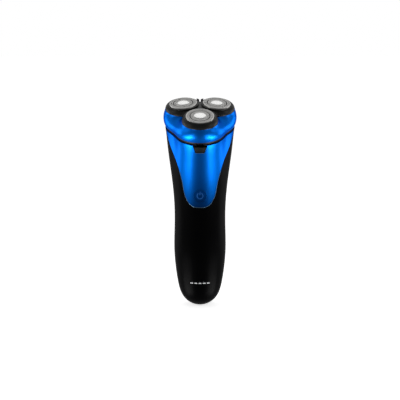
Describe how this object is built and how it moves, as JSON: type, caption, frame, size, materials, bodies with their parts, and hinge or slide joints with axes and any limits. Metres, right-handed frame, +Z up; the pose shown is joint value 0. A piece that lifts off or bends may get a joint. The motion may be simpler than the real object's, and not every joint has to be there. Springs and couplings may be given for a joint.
{
  "type": "electric shaver",
  "caption": "Cordless rotary shaver with floating cutters in a hinged head, a gear drive, a sprung release and power button and a pop-up trimmer.",
  "frame": {"origin": "centre of the foot pad's lower face, under the rounded base", "axes": "+Z up the handle, the shaving head and front panel face -Y, +X is the right side seen from the front"},
  "size_m": [0.0578, 0.0571, 0.1665],
  "materials": {
    "black_shell": "glossy moulded black",
    "blue_panel": "satin metallic blue lacquer",
    "blue_key": "satin metallic blue lacquer",
    "symbol_print": "translucent light blue",
    "release_key": "fine matt black",
    "head_black": "half-gloss black",
    "carrier_black": "matt black",
    "knob_grey": "matt grey",
    "seal_rubber": "soft black",
    "deck_plastic": "matt dark grey",
    "frame_plastic": "natural grey",
    "gear_plastic": "natural white acetal",
    "spring_steel": "drawn wire",
    "pinion_brass": "machined",
    "pin_steel": "ground",
    "motor_steel": "zinc plated",
    "cutter_steel": "brushed in rings",
    "cap_bright": "bright satin",
    "blade_steel": "stamped and ground",
    "trimmer_black": "glossy moulded black",
    "trimmer_grip": "ribbed matt black",
    "trimmer_steel": "ground teeth",
    "inlet_plastic": "matt black",
    "inlet_pins": "nickel plated",
    "cell_sleeve": "shrink sleeve",
    "cell_tabs": "nickel strip",
    "board_laminate": "solder mask",
    "board_black": "moulded packages"
  },
  "bodies": {
    "handle": {"front_shell": "black_shell", "rear_shell": "black_shell", "front_panel": "blue_panel", "foot_pad": "seal_rubber", "charge_socket": "inlet_plastic", "charge_pins": "inlet_pins", "battery_cell_1": "cell_sleeve", "battery_cell_2": "cell_sleeve", "battery_tabs": "cell_tabs", "chassis": "frame_plastic", "circuit_board": "board_laminate", "board_parts": "board_black", "push_switch": "board_black", "motor": "motor_steel", "gear_plate": "deck_plastic", "deck_plate": "deck_plastic", "deck_screws": "pin_steel", "seal_ring": "seal_rubber", "hinge_pin": "pin_steel", "trimmer_pin": "pin_steel"},
    "rotor": {"motor_pinion": "pinion_brass", "motor_shaft": "pin_steel"},
    "power_key": {"power_button": "blue_key", "power_symbol": "symbol_print"},
    "release_key": {"release_button": "release_key"},
    "head": {"head_shell": "blue_panel", "head_carrier": "carrier_black", "head_plate": "head_black", "retaining_frame": "carrier_black"},
    "lock_knob": {"retaining_knob": "knob_grey"},
    "trimmer": {"trimmer_flap": "trimmer_black", "trimmer_comb": "trimmer_steel"},
    "trimmer_thumb": {"trimmer_slide": "trimmer_grip"},
    "trimmer_cutter": {"trimmer_blade": "trimmer_steel"},
    "gear_1": {"drive_gear_1": "gear_plastic", "spindle_spring_1": "spring_steel"},
    "spindle_1": {"drive_spindle_1": "gear_plastic"},
    "cutter_1": {"outer_cutter_1": "cutter_steel", "cutter_cap_1": "cap_bright"},
    "blade_wheel_1": {"inner_cutter_1": "blade_steel"},
    "gear_2": {"drive_gear_2": "gear_plastic", "spindle_spring_2": "spring_steel"},
    "spindle_2": {"drive_spindle_2": "gear_plastic"},
    "cutter_2": {"outer_cutter_2": "cutter_steel", "cutter_cap_2": "cap_bright"},
    "blade_wheel_2": {"inner_cutter_2": "blade_steel"},
    "gear_3": {"drive_gear_3": "gear_plastic", "spindle_spring_3": "spring_steel"},
    "spindle_3": {"drive_spindle_3": "gear_plastic"},
    "cutter_3": {"outer_cutter_3": "cutter_steel", "cutter_cap_3": "cap_bright"},
    "blade_wheel_3": {"inner_cutter_3": "blade_steel"}
  },
  "joints": [
    {"name": "motor_spin", "type": "hinge", "parent": "handle", "child": "rotor", "pos_m": [0, -0.0015, 0.1435], "axis": [0, -0.3584, 0.9336], "continuous": true},
    {"name": "power_press", "type": "slide", "parent": "handle", "child": "power_key", "axis": [0, 1, 0], "range_m": [0, 0.0006], "stiffness_N_per_m": 900, "springref_m": -0.0008},
    {"name": "release_press", "type": "slide", "parent": "handle", "child": "release_key", "axis": [0, 0.9336, 0.3584], "range_m": [0, 0.0012], "stiffness_N_per_m": 900, "springref_m": -0.001},
    {"name": "head_open", "type": "hinge", "parent": "handle", "child": "head", "pos_m": [0, 0.02081, 0.15207], "axis": [-1, 0, 0], "range_deg": [0, 90]},
    {"name": "knob_turn", "type": "hinge", "parent": "head", "child": "lock_knob", "pos_m": [0, -0.00383, 0.14957], "axis": [0, -0.3584, 0.9336], "range_deg": [0, 90]},
    {"name": "trimmer_open", "type": "hinge", "parent": "handle", "child": "trimmer", "pos_m": [0, 0.0143, 0.0925], "axis": [-1, 0, 0], "range_deg": [0, 50]},
    {"name": "trimmer_thumb_slide", "type": "slide", "parent": "trimmer", "child": "trimmer_thumb", "axis": [0, 0, 1], "range_m": [0, 0.0028]},
    {"name": "trimmer_shuttle", "type": "slide", "parent": "trimmer", "child": "trimmer_cutter", "axis": [1, 0, 0], "range_m": [-0.0008, 0.0008]},
    {"name": "gear_spin_1", "type": "hinge", "parent": "handle", "child": "gear_1", "pos_m": [0, -0.01504, 0.1383], "axis": [0, -0.3584, 0.9336], "continuous": true},
    {"name": "cutter_float_1", "type": "slide", "parent": "head", "child": "cutter_1", "axis": [0, 0.4305, -0.9026], "range_m": [0, 0.001], "stiffness_N_per_m": 900, "springref_m": -0.0012},
    {"name": "spindle_slide_1", "type": "slide", "parent": "gear_1", "child": "spindle_1", "axis": [0, 0.3584, -0.9336], "range_m": [0, 0.001], "deforming": ["spindle_spring_1"]},
    {"name": "blade_spin_1", "type": "hinge", "parent": "cutter_1", "child": "blade_wheel_1", "pos_m": [0, -0.01773, 0.14531], "axis": [0, -0.4305, 0.9026], "continuous": true},
    {"name": "gear_spin_2", "type": "hinge", "parent": "handle", "child": "gear_2", "pos_m": [0.01256, 0.00527, 0.1461], "axis": [0, -0.3584, 0.9336], "continuous": true},
    {"name": "cutter_float_2", "type": "slide", "parent": "head", "child": "cutter_2", "axis": [-0.0679, 0.3206, -0.9448], "range_m": [0, 0.001], "stiffness_N_per_m": 900, "springref_m": -0.0012},
    {"name": "spindle_slide_2", "type": "slide", "parent": "gear_2", "child": "spindle_2", "axis": [0, 0.3584, -0.9336], "range_m": [0, 0.001], "deforming": ["spindle_spring_2"]},
    {"name": "blade_spin_2", "type": "hinge", "parent": "cutter_2", "child": "blade_wheel_2", "pos_m": [0.01256, 0.00258, 0.1531], "axis": [0.0679, -0.3206, 0.9448], "continuous": true},
    {"name": "gear_spin_3", "type": "hinge", "parent": "handle", "child": "gear_3", "pos_m": [-0.01256, 0.00527, 0.1461], "axis": [0, -0.3584, 0.9336], "continuous": true},
    {"name": "cutter_float_3", "type": "slide", "parent": "head", "child": "cutter_3", "axis": [0.0679, 0.3206, -0.9448], "range_m": [0, 0.001], "stiffness_N_per_m": 900, "springref_m": -0.0012},
    {"name": "spindle_slide_3", "type": "slide", "parent": "gear_3", "child": "spindle_3", "axis": [0, 0.3584, -0.9336], "range_m": [0, 0.001], "deforming": ["spindle_spring_3"]},
    {"name": "blade_spin_3", "type": "hinge", "parent": "cutter_3", "child": "blade_wheel_3", "pos_m": [-0.01256, 0.00258, 0.1531], "axis": [-0.0679, -0.3206, 0.9448], "continuous": true}
  ],
  "couplings": [
    {"joint": "gear_spin_1", "follows": "motor_spin", "ratio": -0.70588},
    {"joint": "blade_spin_1", "follows": "motor_spin", "ratio": -0.70588},
    {"joint": "spindle_slide_1", "follows": "cutter_float_1", "ratio": 1},
    {"joint": "gear_spin_2", "follows": "motor_spin", "ratio": -0.70588},
    {"joint": "blade_spin_2", "follows": "motor_spin", "ratio": -0.70588},
    {"joint": "spindle_slide_2", "follows": "cutter_float_2", "ratio": 1},
    {"joint": "gear_spin_3", "follows": "motor_spin", "ratio": -0.70588},
    {"joint": "blade_spin_3", "follows": "motor_spin", "ratio": -0.70588},
    {"joint": "spindle_slide_3", "follows": "cutter_float_3", "ratio": 1}
  ]
}
